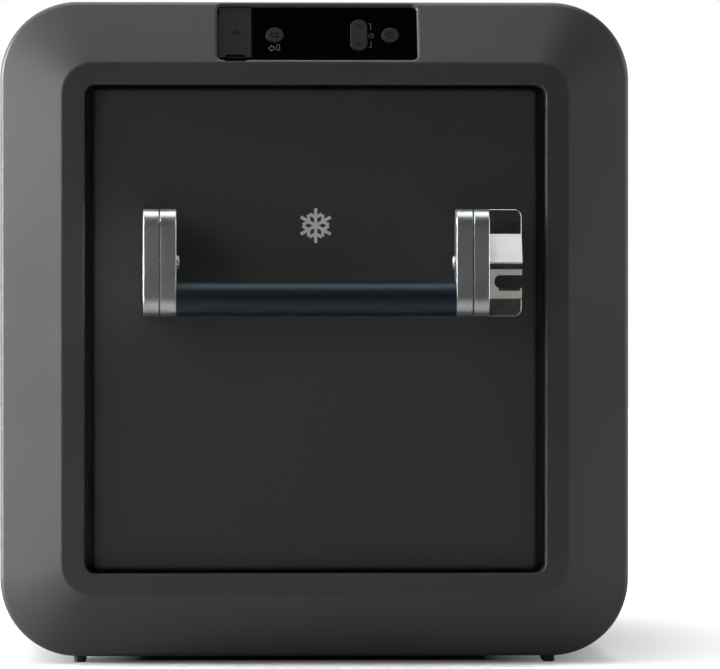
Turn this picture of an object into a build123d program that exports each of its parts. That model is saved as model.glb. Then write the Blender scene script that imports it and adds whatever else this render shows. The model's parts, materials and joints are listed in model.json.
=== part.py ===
from build123d import *
from math import cos, radians, sin
import os

# Portable compressor cooler. Millimetres. +X right, +Y from the control end to the far end, +Z up.
# The origin is at the centre of the floor under the feet. side -1 is the control end, +1 the far end.

# Whole object
width = 455.0
overall_height = 478.0
overall_length = 720.0  # over the two handles
foot_height = 4.5

# End frames: a deep rounded frame whose front edge slopes in to a flat band round a recess
front_face = 318.0  # Y distance of the flat band from the centre
slope_start = 293.0
frame_back = 248.0
outer_radius = 56.0
slope_width = 45.0
slope_inner_radius = 22.0
slope_outer_round, band_round, back_rim_round, mouth_round = 5.0, 3.0, 1.2, 1.6
recess_width, recess_height, recess_radius = 332.0, 352.0, 8.0
frame_wall = 4.0
recess_floor = 291.0
recess_floor_thickness = 3.0
hollow_turn = slope_start - 2.0  # where the hollow behind starts to follow the slope
back_plate_thickness = 4.0

# End panels
panel_face = 303.0
panel_width, panel_height, panel_radius, panel_round = 322.0, 349.0, 5.0, 3.4
panel_sheet = 2.5
boss_width, boss_margin = 26.0, 6.0  # bosses behind the handle brackets

# Cabinet
inset = 4.0  # the cabinet sides stand this far inside the frames
skin = 2.5
seam = 408.0  # top of the cabinet, under the lid
collar_thickness = 8.0
cabinet_radius = outer_radius - inset

# Tub
tub_half_width = 178.0
tub_wall = 2.0
tub_floor = 50.0
tub_back, tub_front, step_back = 222.0, -222.0, -80.0
step_floor = 258.0
tub_radius = 18.0

# Machine bay under the step
bay_y = (-245.0, -97.0)
bay_z = (14.0, 236.0)

# Handles
plate_height, plate_radius = 76.4, 12.5
arm_inner = 100.0  # X of the arms' inner faces
arm_thickness, arm_gap, bracket_thickness = 11.5, 0.8, 11.0
handle_front = overall_length / 2
arm_depth = 36.0
handle_z = 288.75
rim_chamfer = 0.25
grip_radius, sleeve_wall, core_wall = 12.5, 2.5, 2.0
pivot_radius = 4.0
screw_radius, screw_head_radius, screw_head_height, screw_reach = 2.6, 4.6, 3.0, 15.0
screw_spacing = 48.0  # between a bracket's two screws
running_clearance = 0.05

# Control panel, in the top slope of the control end
control_x = 1.5
control_width, control_height, control_radius = 144.5, 45.5, 4.0
control_recess, control_rim_round = 2.6, 2.1
fascia_thickness = 2.2
housing_depth = 17.0

# Derived places
frame_height = overall_height - foot_height
centre_z = foot_height + frame_height / 2
slope_depth = front_face - slope_start
pivot_y = handle_front - arm_depth / 2
arm_x = arm_inner + arm_thickness / 2
bracket_x = arm_inner + arm_thickness + arm_gap + bracket_thickness / 2
bracket_outer = bracket_x + bracket_thickness / 2
grip_y = handle_front - grip_radius
grip_z = handle_z - plate_height / 2 + grip_radius
screw_places = [(sign * bracket_x, handle_z + up * screw_spacing / 2) for sign in (-1, 1) for up in (-1, 1)]

os.makedirs("parts", exist_ok=True)


def save(part, name):
    """Labels a finished piece and writes it as one STEP."""
    part.label = name
    export_step(part, f"parts/{name}.step")


def end_plane(side, distance, x=0.0, z=centre_z):
    """A plane across the object at a distance from the centre, facing out of that end."""
    return Plane(origin=(x, side * distance, z), x_dir=(-side, 0, 0), z_dir=(0, side, 0))


def box_between(low, high, mode=Mode.ADD):
    """A block from its lowest to its highest corner, inside the current part."""
    centre = [(a + b) / 2 for a, b in zip(low, high)]
    with Locations(tuple(centre)):
        Box(*[b - a for a, b in zip(low, high)], mode=mode)


def rod(start, direction, radius, length, mode=Mode.ADD):
    """A round bar from a point along a direction, inside the current part."""
    with Locations(Plane(origin=start, z_dir=direction)):
        Cylinder(radius, length, align=(Align.CENTER, Align.CENTER, Align.MIN), mode=mode)


# Control panel plane: its origin is the middle of the panel opening, on the slope's surface
slope_middle = Vector(control_x, -(slope_start + slope_depth / 2), overall_height - slope_width / 2)
slope_normal = Vector(0, -slope_width, slope_depth).normalized()
slope_up = Vector(0, slope_depth, slope_width).normalized()


def control_plane(depth=0.0, across=0.0, up=0.0):
    """A plane in the slope; depth is how far it lies below the slope's surface."""
    origin = slope_middle - slope_normal * depth + Vector(1, 0, 0) * across + slope_up * up
    return Plane(origin=origin, x_dir=(1, 0, 0), z_dir=slope_normal)


def side_plane(x, y=0.0, z=0.0):
    """A plane facing +X (x_dir along +Y), for profiles seen from the side."""
    return Plane(origin=(x, y, z), x_dir=(0, 1, 0), z_dir=(1, 0, 0))


def end_frame(side, with_controls):
    """The moulded end frame: sloped front, flat band, recess with a floor, hollow behind."""
    with BuildPart() as frame:
        with BuildSketch(end_plane(side, frame_back)):
            RectangleRounded(width, frame_height, outer_radius)
        extrude(amount=slope_start - frame_back)
        with BuildSketch(end_plane(side, slope_start)):
            RectangleRounded(width, frame_height, outer_radius)
        with BuildSketch(end_plane(side, front_face)):
            RectangleRounded(width - 2 * slope_width, frame_height - 2 * slope_width, slope_inner_radius)
        loft(ruled=True)
        # Soft edges: round the slope's outer edge, the band's edge and the back rim
        for distance, radius in ((slope_start, slope_outer_round), (front_face, band_round),
                                 (frame_back, back_rim_round)):
            fillet([e for e in frame.edges() if abs(e.center().Y - side * distance) < 0.01], radius=radius)
        # Hollow behind: a straight part and a part that follows the slope
        with BuildSketch(end_plane(side, frame_back)):
            RectangleRounded(width - 2 * frame_wall, frame_height - 2 * frame_wall, outer_radius - frame_wall)
        extrude(amount=hollow_turn - frame_back, mode=Mode.SUBTRACT)
        with BuildSketch(end_plane(side, hollow_turn)):
            RectangleRounded(width - 2 * frame_wall, frame_height - 2 * frame_wall, outer_radius - frame_wall)
        with BuildSketch(end_plane(side, front_face - frame_wall)):
            RectangleRounded(width - 2 * slope_width, frame_height - 2 * slope_width, slope_inner_radius)
        loft(ruled=True, mode=Mode.SUBTRACT)
        # Collar round the recess, with its floor
        collar_back = frame_back + back_plate_thickness
        with BuildSketch(end_plane(side, collar_back)):
            RectangleRounded(recess_width + 2 * frame_wall, recess_height + 2 * frame_wall,
                             recess_radius + frame_wall)
        extrude(amount=front_face - collar_back)
        with BuildSketch(end_plane(side, recess_floor)):
            RectangleRounded(recess_width, recess_height, recess_radius)
        extrude(amount=front_face - recess_floor, mode=Mode.SUBTRACT)
        with BuildSketch(end_plane(side, collar_back)):
            RectangleRounded(recess_width, recess_height, recess_radius)
        extrude(amount=recess_floor - recess_floor_thickness - collar_back, mode=Mode.SUBTRACT)
        # Eased edge round the mouth of the recess
        mouth = [e for e in frame.edges()
                 if abs(e.center().Y - side * front_face) < 0.01
                 and abs(e.center().X) < recess_width / 2 + 0.5
                 and abs(e.center().Z - centre_z) < recess_height / 2 + 0.5]
        fillet(mouth, radius=mouth_round)
        for x, z in screw_places:
            rod((x, side * (recess_floor + 1), z), (0, -side, 0), screw_radius, recess_floor_thickness + 2,
                Mode.SUBTRACT)
        if with_controls:
            with BuildSketch(control_plane(housing_depth + 2)):
                RectangleRounded(control_width, control_height, control_radius)
            extrude(amount=2 * housing_depth, mode=Mode.SUBTRACT)
            rim = [e for e in frame.edges() if abs((e.center() - slope_middle).dot(slope_normal)) < 0.05
                   and abs(e.center().X - control_x) < control_width / 2 + 1]
            fillet(rim, radius=control_rim_round)
            # Finger notch below the flap
            with BuildSketch(control_plane(control_recess + notch_depth, cap_x, -control_height / 2)):
                RectangleRounded(notch_width, notch_height, notch_end)
            extrude(amount=housing_depth, mode=Mode.SUBTRACT)
    return frame.part


def end_panel(side):
    """Sheet panel with rolled long edges, standing clear of the recess walls."""
    with BuildPart() as panel:
        with BuildSketch(end_plane(side, recess_floor)):
            RectangleRounded(panel_width, panel_height, panel_radius)
        extrude(amount=panel_face - recess_floor)
        front_edges = [e for e in panel.edges() if abs(e.center().Y - side * panel_face) < 0.01]
        fillet(front_edges, radius=panel_round)
        with BuildSketch(end_plane(side, recess_floor)):
            RectangleRounded(panel_width - 2 * panel_sheet, panel_height - 2 * panel_sheet, panel_radius - 2)
        extrude(amount=panel_face - recess_floor - panel_sheet, mode=Mode.SUBTRACT)
        # Bosses behind the two handle brackets
        for x in (-bracket_x, bracket_x):
            with BuildSketch(end_plane(side, recess_floor, x=x, z=handle_z)):
                RectangleRounded(boss_width, plate_height + 2 * boss_margin, panel_radius)
            extrude(amount=panel_face - recess_floor - panel_sheet)
        for x, z in screw_places:
            rod((x, side * (panel_face + 1), z), (0, -side, 0), screw_radius,
                panel_face - recess_floor + 2, Mode.SUBTRACT)
    return panel.part


# Control panel pieces --------------------------------------------------------------------------
cap_width, cap_height, cap_thickness = 24.0, 42.0, 2.4
cap_x = -control_width / 2 + cap_width / 2 + 1.2
cap_surface = control_recess - 0.6
cap_top = control_height / 2 - 0.8
notch_width, notch_height, notch_end, notch_depth = 17.0, 4.0, 1.9, 3.0
button_radius, button_gap = 6.4, 0.35
power_x, select_x, rocker_x, button_up = 52.9, -30.5, 30.2, -1.2
rocker_width, rocker_height = 12.2, 26.5
button_proud, button_round = 0.9, 0.7
fit_gap = 0.2  # all round, between the housing and its opening
housing_wall, bay_wall = 1.8, 1.6

for side, end in ((-1, "front"), (1, "rear")):
    save(end_frame(side, with_controls=side == -1), f"end_frame_{end}")
    save(end_panel(side), f"end_panel_{end}")

fascia_depth = control_recess + fascia_thickness
housing_floor = housing_depth - housing_wall
housing_width, housing_height = control_width - 2 * fit_gap, control_height - 2 * fit_gap
housing_inner_width = housing_width - 2 * housing_wall
housing_inner_height = housing_height - 2 * housing_wall

with BuildPart() as control_housing:
    with BuildSketch(control_plane(housing_depth)):
        RectangleRounded(housing_width, housing_height, control_radius - fit_gap)
    extrude(amount=housing_depth - fascia_depth)
    with BuildSketch(control_plane(housing_floor)):
        RectangleRounded(housing_inner_width, housing_inner_height, control_radius - housing_wall)
    extrude(amount=housing_floor - fascia_depth, mode=Mode.SUBTRACT)
    # Wall between the electronics and the socket bay
    with BuildSketch(control_plane(housing_floor, across=cap_x + cap_width / 2 + 1.0)):
        Rectangle(bay_wall, housing_inner_height)
    extrude(amount=housing_floor - fascia_depth)
save(control_housing.part, "control_housing")

fascia_left = cap_x + cap_width / 2 + 0.3
fascia_right = control_width / 2 - fit_gap
fascia_middle = (fascia_left + fascia_right) / 2
with BuildPart() as control_fascia:
    with BuildSketch(control_plane(fascia_depth)):
        with Locations((fascia_middle, 0)):
            Rectangle(fascia_right - fascia_left, housing_height)
        for x in (power_x, select_x):
            with Locations((x, button_up)):
                Circle(button_radius + button_gap, mode=Mode.SUBTRACT)
        with Locations((rocker_x, button_up)):
            SlotOverall(rocker_height + 2 * button_gap, rocker_width + 2 * button_gap, rotation=90,
                        mode=Mode.SUBTRACT)
    extrude(amount=fascia_thickness)
    outer_corners = control_fascia.edges().filter_by(
        lambda e: abs(e.center().X - control_x - fascia_right) < 0.01 and e.length < 3)
    fillet(outer_corners, radius=control_radius - 0.4)
save(control_fascia.part, "control_fascia")

# Charging socket under the flap
socket_plate_depth, socket_plate_thickness = fascia_depth + 3.6, 1.6
socket_width, socket_height, socket_shell, tongue_height, tongue_length = 13.9, 6.3, 0.7, 1.9, 3.6
socket_fit = 0.1
with BuildPart() as socket_plate:
    with BuildSketch(control_plane(socket_plate_depth)):
        with Locations((cap_x, 0)):
            RectangleRounded(cap_width - 2.0, housing_inner_height, 2.4)
            Rectangle(socket_width + socket_fit, socket_height + socket_fit, mode=Mode.SUBTRACT)
    extrude(amount=socket_plate_thickness)
save(socket_plate.part, "socket_plate")

with BuildPart() as usb_socket:
    with BuildSketch(control_plane(housing_floor, across=cap_x)):
        Rectangle(socket_width, socket_height)
    extrude(amount=housing_floor - socket_plate_depth + socket_plate_thickness)
    socket_floor = control_plane(housing_floor - 0.8, across=cap_x)
    with BuildSketch(socket_floor):
        Rectangle(socket_width - 2 * socket_shell, socket_height - 2 * socket_shell)
    extrude(amount=housing_depth, mode=Mode.SUBTRACT)
    with BuildSketch(socket_floor):
        with Locations((0, 1.0)):
            Rectangle(socket_width - 2 * socket_shell, tongue_height)
    extrude(amount=tongue_length)
save(usb_socket.part, "usb_socket")

plug_width, plug_height, plug_reach = 11.8, 4.4, 1.6
with BuildPart() as usb_cap:
    with BuildSketch(control_plane(cap_surface + cap_thickness, cap_x, cap_top - cap_height / 2)):
        Rectangle(cap_width - 1.0, cap_height)
    extrude(amount=cap_thickness)
    # Finger cut at the lower edge
    with BuildSketch(control_plane(cap_surface, cap_x, cap_top - cap_height)):
        SlotOverall(notch_width - 2, 4.4)
    extrude(amount=-cap_thickness / 2, mode=Mode.SUBTRACT)
    # Plug lip that seats round the socket mouth
    with BuildSketch(control_plane(cap_surface + cap_thickness + plug_reach, across=cap_x)):
        Rectangle(plug_width, plug_height)
    extrude(amount=plug_reach)
save(usb_cap.part, "usb_cap")

stem_inset, stem_reach = 1.6, 1.2
for name, x in (("power_button", power_x), ("select_button", select_x)):
    with BuildPart() as button:
        with BuildSketch(control_plane(fascia_depth + stem_reach, across=x, up=button_up)):
            Circle(button_radius - stem_inset)
        extrude(amount=stem_reach)
        with BuildSketch(control_plane(fascia_depth, across=x, up=button_up)):
            Circle(button_radius)
        extrude(amount=fascia_thickness + button_proud)
        crown = button.faces().sort_by(Axis(slope_middle, slope_normal))[-1]
        fillet(crown.edges(), radius=button_round)
    save(button.part, name)

with BuildPart() as rocker_button:
    with BuildSketch(control_plane(fascia_depth, across=rocker_x, up=button_up)):
        SlotOverall(rocker_height, rocker_width, rotation=90)
    extrude(amount=fascia_thickness + button_proud)
    crown = rocker_button.faces().sort_by(Axis(slope_middle, slope_normal))[-1]
    fillet(crown.edges(), radius=button_round)
save(rocker_button.part, "rocker_button")

board_top, board_thickness, board_margin, board_height = 9.0, 1.6, 4.0, 36.0
display_width, display_height = 30.0, 22.0
switch_size, switch_height, rocker_reach = 5.0, 1.5, 8.0
chip_size, chip_places, chip_height = (8.0, 6.0), [(-4, -8), (10, 6), (-12, 9)], 0.4
with BuildPart() as display_module:
    with BuildSketch(control_plane(board_top - 1.0)):
        RectangleRounded(display_width, display_height, 1.0)
    extrude(amount=board_top - 1.0 - fascia_depth)
save(display_module.part, "display_module")

with BuildPart() as control_board:
    with BuildSketch(control_plane(board_top + board_thickness, across=fascia_middle + 1)):
        Rectangle(fascia_right - fascia_left - 2 * board_margin, board_height)
    extrude(amount=board_thickness)
    # Switches under the buttons and the rocker's two ends
    switches = [(power_x, button_up), (select_x, button_up),
                (rocker_x, button_up + rocker_reach), (rocker_x, button_up - rocker_reach)]
    with BuildSketch(control_plane(board_top)):
        with Locations(switches):
            Rectangle(switch_size, switch_size)
    extrude(amount=switch_height)
    with BuildSketch(control_plane(board_top + board_thickness)):
        with Locations(*chip_places):
            Rectangle(*chip_size)
    extrude(amount=-board_thickness - chip_height)
save(control_board.part, "control_board")


# Handles ---------------------------------------------------------------------------------------
def bracket_plates(side):
    """Two fixed plates that stand out from the end panel, with the bores for the pivot screws."""
    depth = handle_front - panel_face
    with BuildPart() as plates:
        for sign in (-1, 1):
            start = sign * bracket_x - bracket_thickness / 2
            with BuildSketch(side_plane(start, side * (panel_face + depth / 2), handle_z)):
                Rectangle(depth, plate_height)
            extrude(amount=bracket_thickness)
        front_corners = [e for e in plates.edges().filter_by(Axis.X)
                         if abs(e.center().Y - side * handle_front) < 0.01]
        fillet(front_corners, radius=plate_radius)
        rims = [e for e in plates.edges() if abs(e.center().Y) > panel_face + 1
                and not abs(e.tangent_at(0.5).X) > 0.9]
        chamfer(rims, length=rim_chamfer)
        for sign in (-1, 1):
            rod((sign * (bracket_x - 8), side * pivot_y, handle_z), (sign, 0, 0), pivot_radius, 16,
                Mode.SUBTRACT)
        for x, z in screw_places:
            rod((x, side * (panel_face - 1), z), (0, side, 0), screw_radius, screw_reach + 4, Mode.SUBTRACT)
    return plates.part


def swing_arms(side):
    """Two arms that turn on the pivot screws and carry the grip at their lower front corners."""
    with BuildPart() as arms:
        for sign in (-1, 1):
            start = sign * arm_x - arm_thickness / 2
            with BuildSketch(side_plane(start, side * pivot_y, handle_z)):
                RectangleRounded(arm_depth, plate_height, plate_radius)
            extrude(amount=arm_thickness)
        rims = [e for e in arms.edges() if not abs(e.tangent_at(0.5).X) > 0.9]
        chamfer(rims, length=rim_chamfer)
        for sign in (-1, 1):
            rod((sign * (arm_x - 8), side * pivot_y, handle_z), (sign, 0, 0),
                pivot_radius + running_clearance, 16, Mode.SUBTRACT)
    return arms.part


def grip_core(side):
    """Aluminium tube between the arms."""
    with BuildPart() as core:
        with BuildSketch(side_plane(-arm_inner, side * grip_y, grip_z)):
            Circle(grip_radius - sleeve_wall)
            Circle(grip_radius - sleeve_wall - core_wall, mode=Mode.SUBTRACT)
        extrude(amount=2 * arm_inner)
    return core.part


def grip_sleeve(side):
    """Rubber sleeve over the tube."""
    with BuildPart() as sleeve:
        with BuildSketch(side_plane(-arm_inner, side * grip_y, grip_z)):
            Circle(grip_radius)
            Circle(grip_radius - sleeve_wall, mode=Mode.SUBTRACT)
        extrude(amount=2 * arm_inner)
    return sleeve.part


def handle_screws():
    """Fasteners of both handles: shoulder screws on the pivots, and screws from behind into the brackets."""
    head_face = arm_inner - 0.3
    head_radius, head_height, head_round = 5.2, 2.0, 1.6
    floor_back = recess_floor - recess_floor_thickness
    pivots = [(sign, side) for sign in (-1, 1) for side in (-1, 1)]
    with BuildPart() as screws:
        # Shoulder screws, fixed in the brackets, with domed heads inside the arms
        for sign, side in pivots:
            rod((sign * (head_face - 0.01), side * pivot_y, handle_z), (sign, 0, 0), pivot_radius,
                bracket_outer - head_face + 0.01)
            rod((sign * head_face, side * pivot_y, handle_z), (-sign, 0, 0), head_radius, head_height)
        crowns = [f for f in screws.faces() if abs(abs(f.center().X) - head_face + head_height) < 0.01]
        fillet([e for f in crowns for e in f.edges()], radius=head_round)
        for sign, side in pivots:
            crown = (sign * (head_face - head_height), side * pivot_y, handle_z)
            with BuildSketch(Plane(origin=crown, x_dir=(0, 1, 0), z_dir=(sign, 0, 0))):
                RegularPolygon(2.0, 6)
            extrude(amount=1.4, mode=Mode.SUBTRACT)
        # Bracket screws, through the recess floors and the end panels
        for side in (-1, 1):
            for x, z in screw_places:
                rod((x, side * floor_back, z), (0, side, 0), screw_radius,
                    panel_face + screw_reach - floor_back)
                rod((x, side * floor_back, z), (0, -side, 0), screw_head_radius, screw_head_height)
    return screws.part


save(handle_screws(), "handle_screws")
for side, end in ((-1, "front"), (1, "rear")):
    save(bracket_plates(side), f"handle_brackets_{end}")
    save(swing_arms(side), f"handle_arms_{end}")
    save(grip_core(side), f"grip_core_{end}")
    save(grip_sleeve(side), f"grip_sleeve_{end}")

# Bottle opener: a bent stainless plate on the outer face of the right bracket
opener_sheet, opener_width, opener_corner, opener_edge = 2.2, 23.8, 5.0, 0.35
opener_flat = -341.0  # Y of the front of the flat back plate
lip_reach, band_reach, step_reach = 14.5, 9.0, 5.6  # how far these stand in front of the flat plate
opener_top, opener_bottom = handle_z + plate_height / 2, handle_z - plate_height / 2
opener_right = bracket_outer + opener_width
flange_inset, flange_depth = 6.0, 33.0
# Heights of the folds, from the top down
ramp_top, lip_z, band_top, band_low, step_low, flat_top = (
    opener_top - drop for drop in (17.5, 37.8, 39.0, 43.0, 62.4, 64.0))
mouth_low, mouth_high, mouth_left, mouth_end_radius = 270.6, 279.8, bracket_outer + 4.1, 4.2
with BuildPart() as bottle_opener:
    # Front surface from the top down: flat, ramp out to the lip, fold back, band, leaning step, flat
    front = [(opener_flat, opener_top), (opener_flat, ramp_top), (opener_flat - lip_reach, lip_z),
             (opener_flat - lip_reach + 0.7, lip_z - 0.9), (opener_flat - band_reach, band_top),
             (opener_flat - band_reach, band_low), (opener_flat - step_reach, step_low),
             (opener_flat, flat_top), (opener_flat, opener_bottom)]
    sheet_back = opener_flat + opener_sheet
    back = [(sheet_back, opener_bottom), (sheet_back, flat_top + 1.8),
            (sheet_back - step_reach, step_low + 1.8), (sheet_back - band_reach, band_low),
            (sheet_back - band_reach, band_top + 0.8), (sheet_back - lip_reach + 1.2, lip_z + 0.9),
            (sheet_back, ramp_top + 1.1), (sheet_back, opener_top)]
    with BuildSketch(side_plane(bracket_outer)):
        Polygon(*front, *back, align=None)
    extrude(amount=opener_width)
    corners = [e for e in bottle_opener.edges().filter_by(Axis.Y)
               if abs(e.center().X - opener_right) < 0.01
               and (abs(e.center().Z - opener_top) < 0.01 or abs(e.center().Z - opener_bottom) < 0.01)]
    fillet(corners, radius=opener_corner)
    # Polished edge round the front of the two flat plates
    rims = [e for e in bottle_opener.edges() if abs(e.center().Y - opener_flat) < 0.01
            and e.center().X > bracket_outer + 0.01
            and not abs(e.center().Z - ramp_top) < 0.01 and not abs(e.center().Z - flat_top) < 0.01]
    chamfer(rims, length=opener_edge)
    # Mouth for the bottle cap, open to the right
    mouth_length = 2 * opener_width
    with BuildSketch(Plane(origin=(0, opener_flat + 10, 0), x_dir=(1, 0, 0), z_dir=(0, -1, 0))):
        with Locations((mouth_left + mouth_length / 2, (mouth_low + mouth_high) / 2)):
            RectangleRounded(mouth_length, mouth_high - mouth_low, mouth_end_radius)
    extrude(amount=40, mode=Mode.SUBTRACT)
    # Tooth under the mouth that catches the cap
    tooth_face = opener_flat - step_reach - 2.8
    box_between((mouth_left + 3, tooth_face, mouth_low - 2),
                (opener_right - 1.5, tooth_face + 3.4, mouth_low))
    # Flange against the bracket
    box_between((bracket_outer, opener_flat, opener_bottom + flange_inset),
                (bracket_outer + opener_sheet, opener_flat + flange_depth, opener_top - flange_inset))
save(bottle_opener.part, "bottle_opener")

# Cabinet ---------------------------------------------------------------------------------------
cabinet_half_width = width / 2 - inset
half_length = frame_back
section = Plane(origin=(0, 0, centre_z), x_dir=(1, 0, 0), z_dir=(0, -1, 0))

lid_bottom = seam + 3.0
lid_end_gap = 1.0
lid_wall = 3.0
lid_liner_thickness = 2.5
lid_round = 1.2
lid_half_length = half_length - lid_end_gap

hinge_x, hinge_z = -cabinet_half_width + 0.6, lid_bottom
knuckle_radius, groove_radius, hinge_pin_radius = 3.9, 4.7, 1.5
hinge_centres = (-150.0, 150.0)
knuckle_length, knuckle_gap = 20.0, 0.5
hinge_length = 3 * knuckle_length + 2 * knuckle_gap
leaf_thickness, leaf_height, leaf_clear = 1.8, 15.0, 5.2
leaf_outer = -cabinet_half_width - leaf_thickness

vent_y, vent_z = (-238.0, -112.0), (100.0, 216.0)
latch_half_width = 42.0
pocket_depth, pocket_wall = 11.0, 3.0
pocket_back = cabinet_half_width - pocket_depth
pocket_low, pocket_high = 374.0, 452.0
latch_pin_x, latch_pin_z, latch_pin_radius = 219.0, 432.0, 2.5

inlets = {"ac": (-206.0, 38.0, 30.0), "dc": (-152.0, 30.0, 26.0)}  # Y, width, height
inlet_z = 74.0
inlet_depth = 28.0
flap_thickness = 2.0

drain_y, drain_z, drain_radius, spout_wall, spout_clear = 190.0, 58.0, 6.0, 2.5, 3.0
plug_head_radius, plug_head_height, plug_head_round = 11.0, 3.2, 1.2
drain_bore = (tub_half_width - 28, drain_y, drain_z)  # inside the tub, where the bore starts
tub_top = seam - collar_thickness


def cabinet_profile(inward, mode=Mode.ADD):
    """The cabinet's cross-section, moved inward by a distance."""
    RectangleRounded(2 * (cabinet_half_width - inward), frame_height - 2 * inset - 2 * inward,
                     cabinet_radius - inward, mode=mode)


def cut_above(z):
    """Removes what lies above a height from a cross-section sketch."""
    with Locations((0, z - centre_z)):
        Rectangle(2 * width, 2 * overall_height, align=(Align.CENTER, Align.MIN), mode=Mode.SUBTRACT)


def cut_below(z):
    """Removes what lies below a height from a cross-section sketch."""
    with Locations((0, z - centre_z)):
        Rectangle(2 * width, 2 * overall_height, align=(Align.CENTER, Align.MAX), mode=Mode.SUBTRACT)


def cut_hinge_grooves():
    """Room for the knuckles along the hinge line."""
    for y in hinge_centres:
        rod((hinge_x, y - hinge_length / 2 - 1, hinge_z), (0, 1, 0), groove_radius, hinge_length + 2,
            Mode.SUBTRACT)


def tub_block(grow):
    """The tub's space with its step over the machine bay, made larger all round by a distance."""
    with BuildPart() as block:
        half = tub_half_width + grow
        box_between((-half, step_back - grow, tub_floor - grow), (half, tub_back + grow, tub_top))
        box_between((-half, tub_front - grow, step_floor - grow), (half, step_back + 5, tub_top))
        fillet(block.edges().filter_by(Axis.Z), radius=tub_radius + grow)
    return block.part


tub_inside = tub_block(0)
tub_outside = tub_block(tub_wall)
evaporator_thickness, evaporator_front, evaporator_z = 1.2, -55.0, (76.0, 340.0)
tub_and_evaporator = tub_block(tub_wall + evaporator_thickness)

# Plates that close the two frames behind
with BuildPart() as frame_back_plates:
    for side in (-1, 1):
        with BuildSketch(end_plane(side, half_length)):
            RectangleRounded(width - 2 * frame_wall, frame_height - 2 * frame_wall, outer_radius - frame_wall)
        extrude(amount=back_plate_thickness)
save(frame_back_plates.part, "frame_back_plates")

with BuildPart() as outer_shell:
    with BuildSketch(section):
        cabinet_profile(0)
        cabinet_profile(skin, mode=Mode.SUBTRACT)
        cut_above(seam)
    extrude(amount=half_length, both=True)
    cut_hinge_grooves()
    box_between((-width, vent_y[0], vent_z[0]), (width, vent_y[1], vent_z[1]), Mode.SUBTRACT)
    box_between((0, -latch_half_width - pocket_wall, pocket_low - pocket_wall),
                (width, latch_half_width + pocket_wall, seam + 1), Mode.SUBTRACT)
    for y, inlet_width, inlet_height in inlets.values():
        box_between((-width, y - inlet_width / 2, inlet_z - inlet_height / 2),
                    (0, y + inlet_width / 2, inlet_z + inlet_height / 2), Mode.SUBTRACT)
    rod(drain_bore, (1, 0, 0), drain_radius + running_clearance, width, Mode.SUBTRACT)
save(outer_shell.part, "outer_shell")

with BuildPart() as insulation_foam:
    with BuildSketch(section):
        cabinet_profile(skin)
        cut_above(tub_top)
    extrude(amount=half_length, both=True)
    add(tub_and_evaporator, mode=Mode.SUBTRACT)
    box_between((-width, bay_y[0], bay_z[0]), (width, bay_y[1], bay_z[1]), Mode.SUBTRACT)
    box_between((pocket_back - pocket_wall, -latch_half_width - pocket_wall, pocket_low - pocket_wall),
                (width, latch_half_width + pocket_wall, seam), Mode.SUBTRACT)
    rod(drain_bore, (1, 0, 0), drain_radius + spout_wall, width, Mode.SUBTRACT)
save(insulation_foam.part, "insulation_foam")

with BuildPart() as inner_tub:
    add(tub_outside)
    # Drain spout, moulded with the tub
    rod((tub_half_width + 1, drain_y, drain_z), (1, 0, 0), drain_radius + spout_wall,
        cabinet_half_width - skin - spout_clear - tub_half_width - 1)
    add(tub_inside, mode=Mode.SUBTRACT)
    rod(drain_bore, (1, 0, 0), drain_radius + running_clearance, width, Mode.SUBTRACT)
save(inner_tub.part, "inner_tub")

with BuildPart() as evaporator_plate:
    add(tub_and_evaporator)
    add(tub_outside, mode=Mode.SUBTRACT)
    box_between((-width, evaporator_front, evaporator_z[0]), (width, overall_length, evaporator_z[1]),
                Mode.INTERSECT)
save(evaporator_plate.part, "evaporator_plate")

with BuildPart() as rim_collar:
    with BuildSketch(Plane.XY.offset(tub_top)):
        Rectangle(2 * (cabinet_half_width - skin), 2 * half_length)
        with Locations((0, (tub_front + tub_back) / 2)):
            RectangleRounded(2 * tub_half_width, tub_back - tub_front, tub_radius, mode=Mode.SUBTRACT)
        with Locations((cabinet_half_width, 0)):
            Rectangle(2 * (cabinet_half_width - pocket_back + pocket_wall),
                      2 * (latch_half_width + pocket_wall), mode=Mode.SUBTRACT)
    extrude(amount=collar_thickness)
    cut_hinge_grooves()
save(rim_collar.part, "rim_collar")

# Drain -----------------------------------------------------------------------------------------
with BuildPart() as drain_plug:
    plug_face = cabinet_half_width + 0.1
    rod((tub_half_width + 1, drain_y, drain_z), (1, 0, 0), drain_radius, plug_face - tub_half_width - 1)
    rod((plug_face, drain_y, drain_z), (1, 0, 0), plug_head_radius, plug_head_height)
    fillet(drain_plug.faces().sort_by(Axis.X)[-1].edges(), radius=plug_head_round)
save(drain_plug.part, "drain_plug")

# Air grilles -----------------------------------------------------------------------------------
slot_rows, slot_pitch, slot_spacing, slot_length, slot_height = 11, 9.6, 58.0, 52.0, 5.2
for side, hand in ((-1, "left"), (1, "right")):
    with BuildPart() as grille:
        start = side * (cabinet_half_width - skin)
        with BuildSketch(Plane(origin=(start, (vent_y[0] + vent_y[1]) / 2, (vent_z[0] + vent_z[1]) / 2),
                               x_dir=(0, side, 0), z_dir=(side, 0, 0))):
            Rectangle(vent_y[1] - vent_y[0], vent_z[1] - vent_z[0])
            with GridLocations(slot_spacing, slot_pitch, 2, slot_rows):
                SlotOverall(slot_length, slot_height, mode=Mode.SUBTRACT)
        extrude(amount=skin)
    save(grille.part, f"air_grille_{hand}")

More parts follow.
